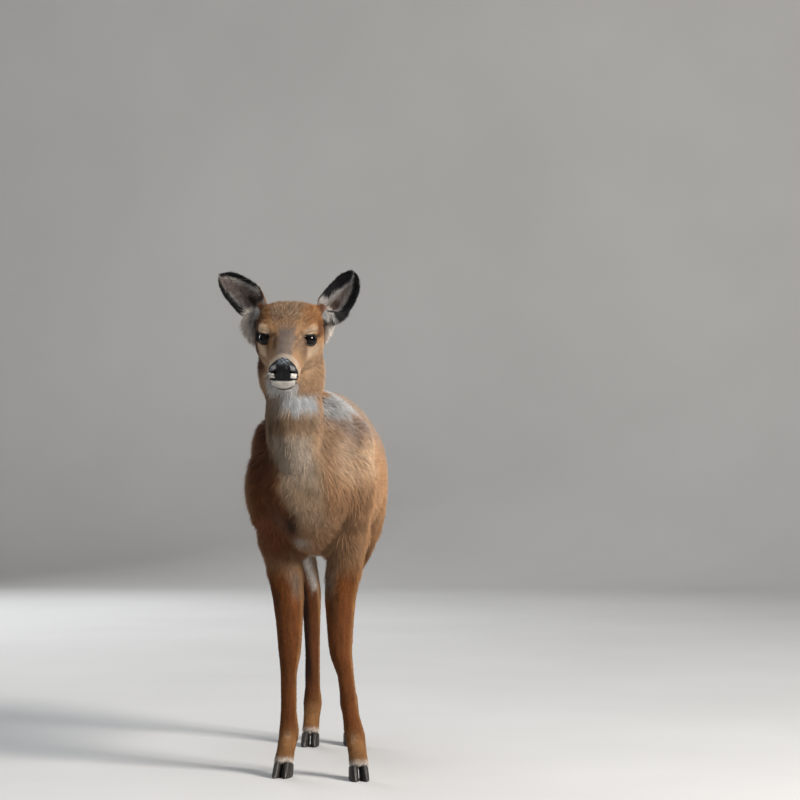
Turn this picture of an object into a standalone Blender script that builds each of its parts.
"""A white-tailed deer, a fawn of the year in its first winter coat, as a still life-size model.

Frame: metres, +Z up, the deer faces -Y and +X is its left. While it is modelled, the ground is z = 0, the forelegs
stand at y = 0 and x = 0 is the trunk's middle plane. At the end everything moves so that the origin lies on the
ground under the middle of the whole animal. All surfaces are the outer limit of the coat.

The flesh is one body, blended from lofted forms, and is then parted with thin plane cuts. Ears, tail, nose pad,
eyes, hooves and dewclaws are solids of their own, fitted to it with the same gap.
"""

import math

import bmesh
import bpy
import numpy as np
from mathutils import Matrix, Vector

# ---------------------------------------------------------------- driving sizes

GAP = 0.0003  # between neighbouring solids
VOXEL = 0.0055  # cell in which the forms of flesh are blended
BODY_FACES = 4300  # triangles left on the blended flesh
SHORTEST = 0.0045  # edge round a cut
RING_POINTS = 28

HEAD_POLL = Vector((-0.0300, -0.130, 0.960))  # top of the head between the ears
HEAD_PITCH = math.radians(31)  # how far the line of the face slopes down
HEAD_YAW = math.radians(1.5)  # turned to its left
HEAD_ROLL = math.radians(1.2)  # left eye lower

EYE_RADIUS = 0.0175
EYE_PLACE = (0.0400, 0.0960, -0.0300)  # to the side, forward of the poll and down from the line of the face
EYE_BACK = 0.009  # the eye's flat back, this far behind its centre
EYE_TURN = math.radians(46)  # outward from straight ahead
EYE_LIFT = math.radians(18)  # up from the line of the face

NOSE_EDGE = (0.2160, -0.0090)  # a point on the pad's flat back: ahead and up
MOUTH_FRONT = (0.225, -0.0425)

EAR_ROOTS = {"left": (0.068, -0.004, -0.029), "right": (-0.062, -0.004, -0.026)}  # on the head, as the eye's place
EAR_TIPS = {"left": Vector((0.0868, -0.050, 1.0224)), "right": Vector((-0.181, -0.050, 1.0155))}
EAR_BREADTHS = {"left": 1.09, "right": 1.0}
EAR_FACES = {"left": Vector((-0.30, -1.0, 0.10)), "right": Vector((-0.05, -1.0, -0.10))}
EAR_WALL = 0.0045
RUFFS = {1: (0.066, 0.0140), -1: (0.0750, 0.0180)}  # how far out the hair below each ear lies, and half its thickness

HOOF_TOP = 0.026  # height of the coronet at the middle of the foot
HOOF_SLOPE = math.radians(17)  # its fall towards the heel
HOOF_LENGTH = 0.054
CLAW_WIDTH = 0.0195

NECK_PLANE = ((0, -0.020, 0.722), (0, -0.62, 0.78))  # withers to breast
POLL_PLANE = ((0, -0.100, 0.900), (0, -1.0, 0.02))  # behind the poll and the angle of the jaw
THROAT_PLANE = ((0, -0.120, 0.812), (0, -0.26, 0.96))  # under the jaw
CHEST_Y = 0.100  # behind the elbows
FLANK_Y = 0.368  # in front of the thighs
FOREARM_Z = 0.428
KNEE_Z = 0.256
GASKIN_Z = 0.452
HOCK_Z = 0.322
FETLOCK_Z = 0.112

# The trunk: y, top, bottom, half width, height of the widest line, squareness of the underside
TRUNK = [
    (-0.158, 0.610, 0.560, 0.024, 0.585, 2.0),
    (-0.148, 0.645, 0.530, 0.055, 0.590, 1.9),
    (-0.118, 0.695, 0.498, 0.086, 0.598, 1.75),
    (-0.070, 0.742, 0.468, 0.108, 0.604, 1.6),
    (-0.020, 0.780, 0.452, 0.122, 0.610, 1.6),
    (0.040, 0.793, 0.445, 0.132, 0.611, 1.65),
    (0.120, 0.792, 0.438, 0.1370, 0.608, 1.85),
    (0.220, 0.787, 0.436, 0.1385, 0.604, 2.0),
    (0.320, 0.785, 0.447, 0.1360, 0.609, 2.0),
    (0.410, 0.785, 0.474, 0.1265, 0.618, 2.0),
    (0.490, 0.782, 0.510, 0.117, 0.632, 2.0),
    (0.560, 0.766, 0.535, 0.104, 0.640, 2.0),
    (0.615, 0.738, 0.560, 0.083, 0.645, 2.0),
    (0.650, 0.695, 0.600, 0.044, 0.645, 2.0),
]

# The neck: centre x, y, z, half width, reach to the front and to the back
NECK = [
    (-0.006, 0.020, 0.590, 0.096, 0.150, 0.120),
    (-0.018, -0.028, 0.662, 0.077, 0.137, 0.118),
    (-0.0285, -0.056, 0.718, 0.0635, 0.112, 0.112),
    (-0.031, -0.072, 0.775, 0.0605, 0.084, 0.092),
    (-0.0335, -0.086, 0.825, 0.0650, 0.070, 0.070),
    (-0.034, -0.100, 0.872, 0.0650, 0.062, 0.058),
    (-0.034, -0.118, 0.905, 0.0575, 0.052, 0.048),
]

# The head along the line of its face: distance from the poll, top, bottom, half width, height of the widest line,
# squareness of the top and of the bottom
HEAD = [
    (-0.028, -0.030, -0.078, 0.0300, -0.055, 2.2, 2.0),
    (-0.012, -0.002, -0.100, 0.0500, -0.048, 3.0, 2.0),
    (0.010, 0.006, -0.113, 0.0610, -0.044, 3.4, 2.3),
    (0.038, 0.009, -0.119, 0.0665, -0.048, 3.0, 2.5),
    (0.064, 0.009, -0.118, 0.0675, -0.052, 2.6, 2.4),
    (0.084, 0.007, -0.112, 0.0635, -0.054, 2.4, 2.2),
    (0.100, 0.003, -0.105, 0.0560, -0.052, 2.3, 2.1),
    (0.116, -0.001, -0.098, 0.0460, -0.047, 2.1, 1.9),
    (0.136, -0.004, -0.090, 0.0392, -0.045, 2.0, 2.0),
    (0.160, -0.005, -0.083, 0.0350, -0.043, 2.0, 2.1),
    (0.185, -0.004, -0.079, 0.0328, -0.041, 2.0, 2.2),
    (0.206, -0.004, -0.079, 0.0325, -0.039, 2.0, 2.3),
    (0.224, -0.011, -0.070, 0.0298, -0.038, 2.1, 2.2),
    (0.237, -0.022, -0.056, 0.0205, -0.038, 2.1, 2.1),
]

# Where each leg's middle line runs: x, y, z
LEG_LINES = {
    "foreleg_left": [
        (0.078, 0.000, 0.640), (0.074, 0.010, 0.520), (0.066, 0.014, 0.440), (0.0575, 0.004, 0.354),
        (0.0585, -0.006, 0.268), (0.070, -0.012, 0.205), (0.080, -0.018, 0.130), (0.089, -0.022, 0.086),
        (0.095, -0.036, 0.056), (0.101, -0.052, 0.022),
    ],
    "foreleg_right": [
        (-0.078, 0.000, 0.640), (-0.070, 0.012, 0.520), (-0.060, 0.018, 0.440), (-0.049, 0.012, 0.354),
        (-0.046, 0.008, 0.268), (-0.0485, 0.012, 0.205), (-0.049, 0.016, 0.130), (-0.049, 0.018, 0.086),
        (-0.053, 0.004, 0.056), (-0.058, -0.012, 0.022),
    ],
    "hindleg_left": [
        (0.068, 0.505, 0.660), (0.073, 0.488, 0.580), (0.071, 0.470, 0.510), (0.054, 0.500, 0.440),
        (0.030, 0.542, 0.380), (0.016, 0.570, 0.330), (0.012, 0.577, 0.270), (0.019, 0.572, 0.180),
        (0.031, 0.566, 0.092), (0.037, 0.548, 0.060), (0.043, 0.530, 0.024),
    ],
    "hindleg_right": [
        (-0.068, 0.505, 0.660), (-0.075, 0.486, 0.580), (-0.078, 0.466, 0.510), (-0.072, 0.492, 0.440),
        (-0.061, 0.527, 0.380), (-0.054, 0.552, 0.330), (-0.051, 0.559, 0.270), (-0.049, 0.554, 0.180),
        (-0.0485, 0.548, 0.092), (-0.049, 0.530, 0.060), (-0.050, 0.512, 0.024),
    ],
}

# Leg thickness against height: z, half width, reach to the front, reach to the back
FORELEG = [
    (0.640, 0.046, 0.075, 0.070),
    (0.560, 0.050, 0.086, 0.072),
    (0.500, 0.047, 0.072, 0.066),
    (0.440, 0.041, 0.050, 0.050),
    (0.400, 0.037, 0.038, 0.040),
    (0.354, 0.033, 0.030, 0.032),
    (0.310, 0.0290, 0.0255, 0.0265),
    (0.278, 0.0268, 0.0275, 0.0245),
    (0.248, 0.0245, 0.0262, 0.0240),
    (0.205, 0.0188, 0.0165, 0.0185),
    (0.150, 0.0178, 0.0152, 0.0182),
    (0.115, 0.0195, 0.0165, 0.0205),
    (0.088, 0.0222, 0.0215, 0.0250),
    (0.056, 0.0200, 0.0190, 0.0210),
    (0.022, 0.0215, 0.0215, 0.0225),
]
HINDLEG = [
    (0.660, 0.048, 0.095, 0.100),
    (0.580, 0.052, 0.105, 0.110),
    (0.510, 0.050, 0.082, 0.098),
    (0.440, 0.038, 0.040, 0.046),
    (0.385, 0.0295, 0.025, 0.031),
    (0.332, 0.0262, 0.028, 0.026),
    (0.270, 0.0205, 0.0185, 0.0210),
    (0.180, 0.0180, 0.0158, 0.0185),
    (0.125, 0.0188, 0.0180, 0.0210),
    (0.092, 0.0222, 0.0215, 0.0250),
    (0.060, 0.0195, 0.0185, 0.0205),
    (0.024, 0.0210, 0.0210, 0.0220),
]

# Tendon from the back of the thigh over the point of the hock: from the hock, inward or outward, back and up, then
# half width and reach to the front and back
TENDON = [
    (0.030, -0.070, 0.190, 0.030, 0.040, 0.034),
    (0.022, -0.036, 0.138, 0.022, 0.028, 0.022),
    (0.010, -0.005, 0.092, 0.0125, 0.015, 0.0125),
    (0.002, 0.016, 0.054, 0.0120, 0.014, 0.0115),
    (0.000, 0.026, 0.030, 0.0150, 0.018, 0.0135),
    (0.000, 0.016, -0.010, 0.0160, 0.018, 0.0140),
    (0.000, 0.008, -0.060, 0.0150, 0.015, 0.0140),
]

# The tail's middle line with its half width and thickness
TAIL = [
    (0.0, 0.560, 0.722, 0.026, 0.022, 0.018),
    (0.0, 0.620, 0.716, 0.032, 0.024, 0.020),
    (0.0, 0.645, 0.682, 0.036, 0.026, 0.019),
    (0.0, 0.655, 0.630, 0.039, 0.024, 0.017),
    (0.0, 0.653, 0.570, 0.036, 0.020, 0.015),
    (0.0, 0.647, 0.520, 0.024, 0.014, 0.012),
    (0.0, 0.642, 0.492, 0.008, 0.006, 0.006),
]

# An ear along its length: share of the length, half width, depth of the back, depth of the hollow
EAR = [
    (-0.16, 0.017, 0.016, -0.014),
    (0.04, 0.0230, 0.021, -0.014),
    (0.15, 0.0290, 0.024, -0.004),
    (0.27, 0.0330, 0.022, 0.0125),
    (0.42, 0.0335, 0.018, 0.0125),
    (0.60, 0.0315, 0.014, 0.0090),
    (0.76, 0.0270, 0.010, 0.0050),
    (0.90, 0.0195, 0.006, 0.0015),
    (0.97, 0.0130, 0.004, -0.0005),
    (1.00, 0.0080, 0.003, -0.0015),
]

COATS = {
    "coat_back": (0.34, 0.245, 0.17),
    "coat_neck": (0.36, 0.255, 0.18),
    "coat_throat": (0.55, 0.50, 0.45),
    "coat_face": (0.40, 0.27, 0.17),
    "coat_jaw": (0.70, 0.64, 0.56),
    "coat_leg": (0.42, 0.25, 0.13),
    "coat_foot": (0.44, 0.29, 0.17),
    "coat_tail": (0.40, 0.27, 0.17),
    "coat_ear": (0.20, 0.16, 0.13),
    "eye": (0.012, 0.009, 0.008),
    "nose": (0.015, 0.016, 0.019),
    "hoof": (0.030, 0.026, 0.024),
}
GLOSSY = {"eye": 0.06, "nose": 0.28, "hoof": 0.45}

# ---------------------------------------------------------------- lofted forms


def eased(rows, count):
    """The rows of a table, drawn through by a smooth curve that doesn't overshoot, at count even steps."""
    rows = np.array(rows, float)
    slopes = np.zeros_like(rows)
    steps = np.diff(rows, axis=0)
    before, after = steps[:-1], steps[1:]
    same_way = before * after > 0
    total = np.where(same_way, before + after, 1.0)
    slopes[1:-1] = np.where(same_way, 2 * before * after / total, 0.0)
    slopes[0], slopes[-1] = steps[0], steps[-1]
    at = np.linspace(0, len(rows) - 1, count)
    start = np.minimum(at.astype(int), len(rows) - 2)
    t = (at - start)[:, None]
    a, b, m, n = rows[start], rows[start + 1], slopes[start], slopes[start + 1]
    t2, t3 = t * t, t * t * t
    return a * (2 * t3 - 3 * t2 + 1) + m * (t3 - 2 * t2 + t) + b * (3 * t2 - 2 * t3) + n * (t3 - t2)


def egg(half_width, above, below, square_above=2.0, square_below=2.0, count=RING_POINTS):
    """Points round an egg-shaped section, as (sideways, up) pairs. Above 2, squareness makes a half boxier."""
    points = []
    for step in range(count):
        angle = 2 * math.pi * step / count
        side, up = math.cos(angle), math.sin(angle)
        power = 2 / (square_above if up > 0 else square_below)
        reach = above if up > 0 else below
        points.append(
            (
                half_width * math.copysign(abs(side) ** power, side),
                reach * math.copysign(abs(up) ** power, up),
            )
        )
    return points


def skin_rings(rings):
    """A closed mesh over rings of points, each end closed to its middle."""
    made = bmesh.new()
    loops = [[made.verts.new(p) for p in ring] for ring in rings]
    count = len(loops[0])
    for low, high in zip(loops, loops[1:]):
        for i in range(count):
            j = (i + 1) % count
            made.faces.new((low[i], low[j], high[j], high[i]))
    for loop in (loops[0], loops[-1]):
        middle = made.verts.new(sum((v.co for v in loop), Vector()) / count)
        for i in range(count):
            made.faces.new((loop[i], loop[(i + 1) % count], middle))
    bmesh.ops.recalc_face_normals(made, faces=made.faces)
    return made


def form(name, rings):
    """A helper object with a lofted closed mesh."""
    return object_from(name, skin_rings(rings))


def object_from(name, made):
    mesh = bpy.data.meshes.new(name)
    made.to_mesh(mesh)
    made.free()
    placed = bpy.data.objects.new(name, mesh)
    bpy.context.scene.collection.objects.link(placed)
    return placed


def trunk_form():
    rings = []
    for y, top, bottom, half_width, wide, square in eased(TRUNK, 40):
        section = egg(half_width, top - wide, wide - bottom, 1.68, square)
        rings.append([Vector((side, y, wide + up)) for side, up in section])
    return form("trunk_form", rings)


def tube_rings(rows, square=2.0, count=RING_POINTS):
    """Rings square to a middle line. A row is x, y, z, half width, reach to the front and to the back."""
    rings = []
    middles = [Vector(row[:3]) for row in rows]
    for i, row in enumerate(rows):
        along = (middles[min(i + 1, len(rows) - 1)] - middles[max(i - 1, 0)]).normalized()
        side = Vector((1, 0, 0))
        side = (side - along * side.dot(along)).normalized()
        front = side.cross(along)
        if front.y > 0:
            front = -front
        section = egg(row[3], row[4], row[5], square, square, count)
        rings.append([middles[i] + side * across + front * up for across, up in section])
    return rings


def neck_form():
    return form("neck_form", tube_rings(eased(NECK, 26)))


def leg_rows(line, thickness, count):
    """The leg's middle line and thickness together, read at even steps."""
    line = eased(line, 90)
    thick = eased(thickness, 90)
    rows = []
    for height in np.linspace(line[0][2], line[-1][2], count):
        x = np.interp(-height, -line[:, 2], line[:, 0])
        y = np.interp(-height, -line[:, 2], line[:, 1])
        sizes = [np.interp(-height, -thick[:, 0], thick[:, k]) for k in (1, 2, 3)]
        rows.append((x, y, height, *sizes))
    return rows


def leg_form(name):
    table = FORELEG if name.startswith("fore") else HINDLEG
    return form(name + "_form", tube_rings(leg_rows(LEG_LINES[name], table, 60), 2.1))


def blob(name, centre, reach, turn=(0, 0, 0), frame=None):
    """A muscle as an ellipsoid: its centre, its half sizes, and its turn in degrees."""
    made = bmesh.new()
    bmesh.ops.create_uvsphere(made, u_segments=24, v_segments=16, radius=1)
    turned = Matrix.Rotation(math.radians(turn[2]), 4, "Z") @ Matrix.Rotation(math.radians(turn[1]), 4, "Y")
    turned = turned @ Matrix.Rotation(math.radians(turn[0]), 4, "X")
    made.transform(Matrix.Translation(centre) @ turned @ Matrix.Diagonal((*reach, 1)))
    if frame is not None:
        made.transform(frame)
    return object_from(name, made)


# ---------------------------------------------------------------- the head's own frame


def head_frame():
    """From (side, ahead, up) on the head to the world: ahead runs from the poll down the line of the face."""
    lean = Matrix.Rotation(HEAD_PITCH, 4, "X")
    turn = Matrix.Rotation(HEAD_YAW, 4, "Z")
    roll = Matrix.Rotation(HEAD_ROLL, 4, "Y")
    forward = Matrix.Diagonal((1, -1, 1, 1))
    return Matrix.Translation(HEAD_POLL) @ turn @ roll @ lean @ forward


def on_head(side, ahead, up):
    return head_frame() @ Vector((side, ahead, up))


def head_form():
    rings = []
    for ahead, top, bottom, half_width, wide, square_top, square_bottom in eased(HEAD, 44):
        section = egg(half_width, top - wide, wide - bottom, square_top, square_bottom, 36)
        rings.append([on_head(side, ahead, wide + up) for side, up in section])
    return form("head_form", rings)


def head_details():
    """Brow ridges, cheeks, jaw edges, nostril wings, lips and the ruff below each ear, mirrored."""
    made = []
    frame = head_frame()
    for side in (-1, 1):
        made += [
            blob("brow", (side * 0.041, 0.084, -0.010), (0.019, 0.026, 0.012), (0, side * 20, side * 16), frame),
            blob("cheek", (side * 0.046, 0.080, -0.064), (0.018, 0.046, 0.019), (0, 0, side * 18), frame),
            blob("jaw_edge", (side * 0.037, 0.050, -0.086), (0.026, 0.058, 0.027), (8, 0, side * 12), frame),
            blob("nostril", (side * 0.0195, 0.219, -0.026), (0.0120, 0.017, 0.0130), (-12, 0, 0), frame),
            blob("lip", (side * 0.0170, 0.206, -0.0385), (0.0150, 0.028, 0.0120), (0, 0, side * 6), frame),
            blob("ear_root", (side * 0.051, -0.006, -0.028), (0.0170, 0.024, 0.026), (0, side * 34, 0), frame),
            blob("ruff", (side * RUFFS[side][0], -0.010, -0.059), (RUFFS[side][1], 0.018, 0.042), (0, side * 17, 0), frame),
        ]
    made.append(blob("chin", (0, 0.203, -0.0630), (0.0205, 0.0245, 0.0170), (0, 0, 0), frame))
    return made


# ---------------------------------------------------------------- muscles


def muscles():
    made = []
    for side, fore, hind in ((1, "foreleg_left", "hindleg_left"), (-1, "foreleg_right", "hindleg_right")):
        hock = Vector(LEG_LINES[hind][5])
        made += [
            blob("blade", (side * 0.070, 0.018, 0.638), (0.058, 0.080, 0.100), (-12, side * 7, 0)),
            blob("shoulder", (side * 0.084, -0.028, 0.585), (0.052, 0.076, 0.092), (14, 0, 0)),
            blob("elbow", (side * 0.078, 0.036, 0.502), (0.043, 0.058, 0.074), (-10, 0, 0)),
            blob("thigh", (side * 0.064, 0.520, 0.575), (0.058, 0.125, 0.140), (-6, side * 4, 0)),
            blob("stifle", (side * 0.072, 0.452, 0.520), (0.045, 0.078, 0.085), (-18, 0, 0)),
            blob("flank", (side * 0.085, 0.390, 0.560), (0.045, 0.090, 0.085), (-20, 0, 0)),
            blob("hip", (side * 0.053, 0.480, 0.674), (0.040, 0.095, 0.060), (6, side * 14, 0)),
        ]
        tendon = []
        for out, back, up, half_width, front, rear in TENDON:
            tendon.append((hock.x + side * out, hock.y + back, hock.z + up, half_width, front, rear))
        made.append(form("tendon", tube_rings(eased(tendon, 22))))
    made.append(blob("breast", (-0.002, -0.086, 0.580), (0.076, 0.066, 0.085), (14, 0, 0)))
    made.append(blob("brisket", (0.0, -0.020, 0.505), (0.048, 0.110, 0.052), (-14, 0, 0)))
    return made


# ---------------------------------------------------------------- blending and parting


def clear_scene():
    for placed in list(bpy.data.objects):
        bpy.data.objects.remove(placed)


def joined(objects, name):
    made = bmesh.new()
    for placed in objects:
        made.from_mesh(placed.data)
        bpy.data.objects.remove(placed)
    return object_from(name, made)


def evaluated(placed):
    """The object's mesh with its modifiers, as a bmesh, after which the object is removed."""
    bpy.context.view_layer.update()
    graph = bpy.context.evaluated_depsgraph_get()
    made = bmesh.new()
    made.from_mesh(placed.evaluated_get(graph).to_mesh())
    bpy.data.objects.remove(placed)
    return made


def head_share(points):
    """1 well inside the head, 0 on the neck and body."""
    local = points - np.array(on_head(0, -0.01, -0.06))
    ahead = np.array(on_head(0, 1, 0) - on_head(0, 0, 0))
    return np.clip((local @ ahead) / 0.04 + 0.5, 0, 1)


def relaxed(made, rounds):
    """Smooths away the creases between forms. Slim parts and the head are relaxed less, and little shrinks."""
    points = np.array([v.co for v in made.verts])
    ends = np.array([(e.verts[0].index, e.verts[1].index) for e in made.edges])
    count = np.bincount(ends.ravel(), minlength=len(points))[:, None]
    on_leg = np.clip((0.44 - points[:, 2]) / 0.10, 0, 1)
    slim = np.maximum(on_leg, head_share(points))[:, None]
    for step in range(rounds):
        if step >= 12:
            slim = np.maximum(slim, (slim > 0.05) * 1.0)
        for factor in (0.60, -0.36):
            total = np.zeros_like(points)
            for axis in range(3):
                total[:, axis] += np.bincount(ends[:, 0], points[ends[:, 1], axis], len(points))
                total[:, axis] += np.bincount(ends[:, 1], points[ends[:, 0], axis], len(points))
            mixed = factor * (1 - slim) + (0.5 if factor > 0 else -0.48) * slim * (step < 12)
            points = points + mixed * (total / count - points)
    for vertex, place in zip(made.verts, points):
        vertex.co = place


def flesh():
    """The whole animal without ears, tail and feet, as one closed body."""
    parts = [trunk_form(), neck_form(), head_form(), *head_details(), *muscles()]
    parts += [leg_form(name) for name in LEG_LINES]
    whole = joined(parts, "flesh")
    blend = whole.modifiers.new("blend", "REMESH")
    blend.mode = "VOXEL"
    blend.voxel_size = VOXEL
    made = largest(evaluated(whole))
    made.verts.index_update()
    relaxed(made, 60)
    whole = object_from("flesh", made)
    thin = whole.modifiers.new("thin", "DECIMATE")
    thin.ratio = BODY_FACES / sum(len(p.vertices) - 2 for p in whole.data.polygons)
    made = evaluated(whole)
    bmesh.ops.triangulate(made, faces=made.faces)
    return made


def part_in_two(made, through, facing):
    """The side of a plane that facing points to, and the other side, with flat faces a gap apart."""
    facing = Vector(facing).normalized()
    through = Vector(through)
    whole = made.copy()
    split = bmesh.ops.bisect_plane(
        whole,
        geom=[*whole.verts, *whole.edges, *whole.faces],
        dist=1e-6,
        plane_co=through,
        plane_no=facing,
    )
    rim = [item for item in split["geom_cut"] if isinstance(item, bmesh.types.BMVert)]
    bmesh.ops.remove_doubles(whole, verts=rim, dist=SHORTEST)
    return half(whole, through, facing), half(whole, through, -facing)


def half(whole, through, facing):
    kept = whole.copy()
    away = [f for f in kept.faces if (f.calc_center_median() - through).dot(facing) < 1e-7]
    bmesh.ops.delete(kept, geom=away, context="FACES")
    loose = [v for v in kept.verts if not v.link_faces]
    bmesh.ops.delete(kept, geom=loose, context="VERTS")
    rim = [e for e in kept.edges if e.is_boundary]
    for vertex in {v for e in rim for v in e.verts}:
        vertex.co += facing * (GAP / 2 - (vertex.co - through).dot(facing))
    bmesh.ops.triangle_fill(kept, use_beauty=True, use_dissolve=False, edges=rim, normal=-facing)
    bmesh.ops.recalc_face_normals(kept, faces=kept.faces)
    return kept


def islands(made):
    """The separate bodies in a mesh, each as its own mesh."""
    seen = set()
    found = []
    for start in made.verts:
        if start.index in seen:
            continue
        group, queue = {start.index}, [start]
        while queue:
            for edge in queue.pop().link_edges:
                for vertex in edge.verts:
                    if vertex.index not in group:
                        group.add(vertex.index)
                        queue.append(vertex)
        seen |= group
        own = made.copy()
        own.verts.ensure_lookup_table()
        bmesh.ops.delete(own, geom=[v for v in own.verts if v.index not in group], context="VERTS")
        found.append(own)
    return found


def middle_of(made):
    return sum((v.co for v in made.verts), Vector()) / len(made.verts)


def inflated(made, by):
    """A copy pushed out along its normals."""
    swollen = made.copy()
    swollen.normal_update()
    moves = [v.normal * by for v in swollen.verts]
    for vertex, move in zip(swollen.verts, moves):
        vertex.co += move
    return swollen


def carved(made, *cutters):
    """The mesh less the cutters, exactly."""
    solid = object_from("carved", made)
    tools = []
    for index, cutter in enumerate(cutters):
        tool = object_from(f"cutter_{index}", cutter.copy())
        tool.hide_render = True
        tool.display_type = "WIRE"
        less = solid.modifiers.new(f"less_{index}", "BOOLEAN")
        less.operation = "DIFFERENCE"
        less.solver = "EXACT"
        less.object = tool
        tools.append(tool)
    result = evaluated(solid)
    for tool in tools:
        bpy.data.objects.remove(tool)
    bmesh.ops.triangulate(result, faces=result.faces)
    return result


def largest(made):
    """The biggest body in a mesh, without crumbs from a cut or hollows shut inside it."""
    made.verts.index_update()
    return max(islands(made), key=lambda own: len(own.verts))


# ---------------------------------------------------------------- eyes, ears, tail and feet


def eye_ball(side, radius, back):
    made = bmesh.new()
    bmesh.ops.create_uvsphere(made, u_segments=14, v_segments=9, radius=radius)
    made.transform(Matrix.Rotation(math.radians(90), 4, "X"))
    clipped = part_in_two(made, (0, back, 0), (0, -1, 0))[0]
    turn = Matrix.Rotation(side * EYE_TURN, 4, "Z") @ Matrix.Rotation(-EYE_LIFT, 4, "X")
    place = head_frame() @ Matrix.Translation((side * EYE_PLACE[0], *EYE_PLACE[1:]))
    clipped.transform(place @ Matrix.Diagonal((1, -1, 1, 1)) @ turn)
    bmesh.ops.recalc_face_normals(clipped, faces=clipped.faces)
    return clipped


def ear_solid(name):
    """A cupped leaf, from inside the head to its tip."""
    root = on_head(*EAR_ROOTS[name])
    broad = EAR_BREADTHS[name]
    axis = EAR_TIPS[name] - root
    along = axis.normalized()
    face = EAR_FACES[name]
    face = (face - along * face.dot(along)).normalized()
    across = along.cross(face)
    rings = []
    steps = 6
    for share, half_width, depth, hollow in eased(EAR, 13):
        middle = root + axis * share - face * (0.010 * math.sin(math.pi * max(share, 0)))
        lip = EAR_WALL / 2
        ring = []
        for step in range(steps + 1):
            angle = math.pi * (step / steps - 0.5)
            ring.append(middle + across * (half_width * broad * math.sin(angle)) - face * (depth * math.cos(angle)))
        inner = max(half_width * broad - lip, half_width * 0.5)
        for step in range(1, steps):
            angle = math.pi * (0.5 - step / steps)
            ring.append(middle + across * (inner * math.sin(angle)) - face * (hollow * math.cos(angle)))
        rings.append(ring)
    return skin_rings(rings)


def tail_solid():
    return skin_rings(tube_rings(eased(TAIL, 12), 2.2, 14))


def claw(centre, side, heading):
    """One claw of a hoof: flat below, pointed in front, sloping back as it rises to above the coronet."""
    rings = []
    for up, length, width, back in ((0.0, 1.0, 0.94, 0.0), (0.004, 1.0, 1.0, 0.001), (0.050, 0.70, 0.86, 0.021)):
        ring = []
        for step in range(16):
            angle = 2 * math.pi * step / 16
            ahead, out = math.cos(angle), math.sin(angle)
            pointed = 1 - 0.45 * max(ahead, 0) ** 2
            wide = CLAW_WIDTH * width * (0.5 + 0.5 * out * pointed) if out > 0 else CLAW_WIDTH * width * 0.5 * (1 + out)
            wide = max(wide, 0.0) + 0.0010 + 0.0012 * max(ahead, 0)
            point = Vector((side * wide, -ahead * HOOF_LENGTH * length / 2 + back, up))
            ring.append(point)
        rings.append(ring)
    made = skin_rings(rings)
    made.transform(Matrix.Translation((centre.x, centre.y, 0)) @ Matrix.Rotation(heading, 4, "Z"))
    return made


def dewclaw(centre, side, heading):
    made = bmesh.new()
    bmesh.ops.create_uvsphere(made, u_segments=6, v_segments=5, radius=1)
    made.transform(Matrix.Diagonal((0.0058, 0.0065, 0.0105, 1)))
    made.transform(Matrix.Rotation(math.radians(-24), 4, "X"))
    made.transform(Matrix.Translation((side * 0.0115, 0.0235, 0)))
    made.transform(Matrix.Translation(centre) @ Matrix.Rotation(heading, 4, "Z"))
    return made


# ---------------------------------------------------------------- finished nodes


def material(name):
    made = bpy.data.materials.get(name) or bpy.data.materials.new(name)
    made.use_nodes = True
    shader = made.node_tree.nodes["Principled BSDF"]
    shader.inputs["Base Color"].default_value = (*COATS[name], 1)
    shader.inputs["Roughness"].default_value = GLOSSY.get(name, 0.85)
    shader.inputs["Metallic"].default_value = 0.0
    made.diffuse_color = (*COATS[name], 1)
    return made


def node(name, made, coat):
    bmesh.ops.triangulate(made, faces=made.faces)
    bmesh.ops.dissolve_degenerate(made, dist=1e-6, edges=made.edges)
    bmesh.ops.recalc_face_normals(made, faces=made.faces)
    if made.calc_volume(signed=True) < 0:
        bmesh.ops.reverse_faces(made, faces=made.faces)
    for face in made.faces:
        face.smooth = True
    for edge in made.edges:
        edge.smooth = len(edge.link_faces) == 2 and edge.calc_face_angle(0) < math.radians(50)
    placed = object_from(name, made)
    placed.data.materials.append(material(coat))
    return placed


def add_leg(name, made):
    """A leg's three flesh nodes and its foot, from the part of the leg below the trunk."""
    hind = name.startswith("hind")
    upper, rest = part_in_two(made, (0, 0, HOCK_Z if hind else KNEE_Z), (0, 0, 1))
    cannon, rest = part_in_two(rest, (0, 0, FETLOCK_Z), (0, 0, 1))
    line = LEG_LINES[name]
    fetlock, toe = Vector(line[-3]), Vector(line[-1])
    heading = -math.atan2(toe.x - fetlock.x, -(toe.y - fetlock.y)) * -0.6
    slope = Vector((0, math.sin(HOOF_SLOPE), math.cos(HOOF_SLOPE)))
    through = Vector((toe.x, toe.y, HOOF_TOP))
    pastern = part_in_two(rest, through, slope)[0]
    place = name.replace("leg", "")
    centre = Vector((toe.x, toe.y - 0.0125, 0))
    for side, word in ((1, "left"), (-1, "right")):
        hoof = part_in_two(claw(centre, side, heading), through, slope)[1]
        node(f"hoof_{place}_{word}_claw", hoof, "hoof")
        spur = carved(dewclaw(fetlock - Vector((0, 0, 0.016)), side, heading), inflated(pastern, GAP))
        node(f"dewclaw_{place}_{word}", largest(spur), "hoof")
    node(f"{name}_{'gaskin' if hind else 'forearm'}", upper, "coat_leg")
    node(f"{name}_cannon", cannon, "coat_leg")
    node(f"{name}_pastern", pastern, "coat_foot")


def add_legs(made):
    """Both legs of a pair, from the mesh that holds them."""
    made.verts.index_update()
    for own in islands(made):
        middle = middle_of(own)
        place = "hindleg" if middle.y > 0.3 else "foreleg"
        add_leg(f"{place}_{'left' if middle.x > 0 else 'right'}", own)


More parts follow.
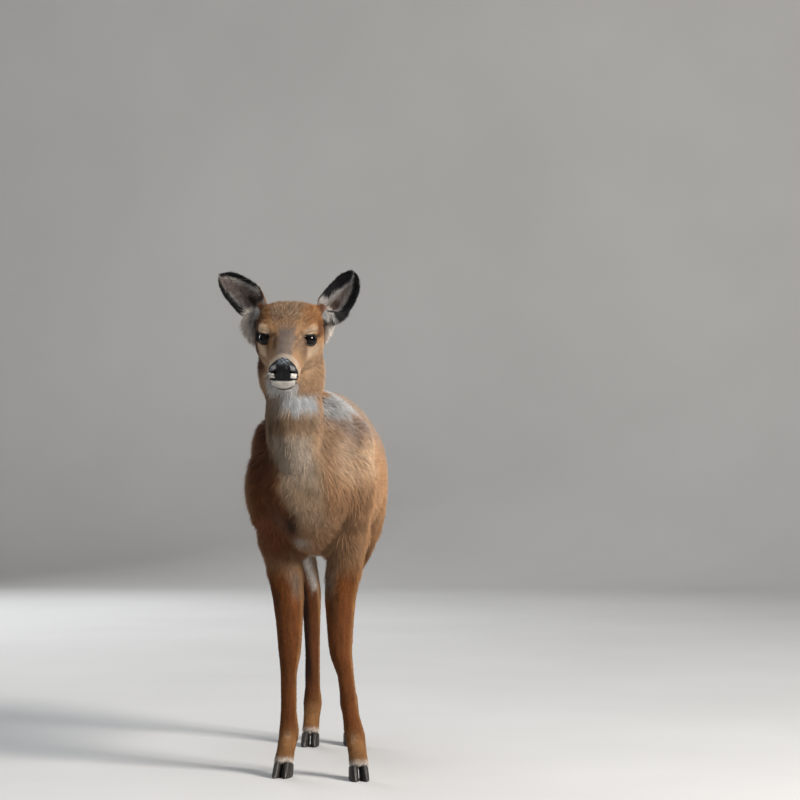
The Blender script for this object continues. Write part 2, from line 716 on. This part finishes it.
def add_head(made, around):
    frame = head_frame()
    turn = frame.to_3x3()
    head, throat = part_in_two(made, *THROAT_PLANE)
    nose_at, nose_facing = on_head(0, *NOSE_EDGE), turn @ Vector((0, 0.80, 0.60))
    nose, head = part_in_two(head, nose_at, nose_facing)
    lips_at, lips_facing = on_head(0, *MOUTH_FRONT), turn @ Vector((0, -0.13, 0.99))
    head, jaw = part_in_two(head, lips_at, lips_facing)
    sockets = [eye_ball(side, EYE_RADIUS + GAP, EYE_BACK + GAP) for side in (1, -1)]
    for side, word in ((1, "left"), (-1, "right")):
        node(f"eye_{word}", eye_ball(side, EYE_RADIUS, EYE_BACK), "eye")
        ear = carved(ear_solid(word), around)
        node(f"ear_{word}", largest(ear), "coat_ear")
    node("head", largest(carved(head, *sockets)), "coat_face")
    node("lower_jaw", jaw, "coat_jaw")
    node("nose", nose, "nose")
    node("throat", throat, "coat_throat")


def settle():
    """Moves everything so that the origin is on the ground under the middle of the animal."""
    corners = []
    for placed in bpy.data.objects:
        corners += [v.co for v in placed.data.vertices]
    corners = np.array(corners)
    low, high = corners.min(axis=0), corners.max(axis=0)
    shift = Matrix.Translation((-(low[0] + high[0]) / 2, -(low[1] + high[1]) / 2, -low[2]))
    for placed in bpy.data.objects:
        placed.data.transform(shift)


def build():
    clear_scene()
    whole = flesh()
    upper, body = part_in_two(whole, *NECK_PLANE)
    front, neck = part_in_two(upper, *POLL_PLANE)
    around = inflated(whole, 2 * GAP)
    add_head(front, around)
    node("neck", neck, "coat_neck")
    rear, fore = part_in_two(body, (0, CHEST_Y, 0), (0, 1, 0))
    chest, forelegs = part_in_two(fore, (0, 0, FOREARM_Z), (0, 0, 1))
    rump, barrel = part_in_two(rear, (0, FLANK_Y, 0), (0, 1, 0))
    hindquarters, hindlegs = part_in_two(rump, (0, 0, GASKIN_Z), (0, 0, 1))
    add_legs(forelegs)
    add_legs(hindlegs)
    node("chest", chest, "coat_back")
    node("barrel", barrel, "coat_back")
    tail = largest(carved(tail_solid(), around))
    node("tail", tail, "coat_tail")
    node("hindquarters", hindquarters, "coat_back")
    settle()


build()
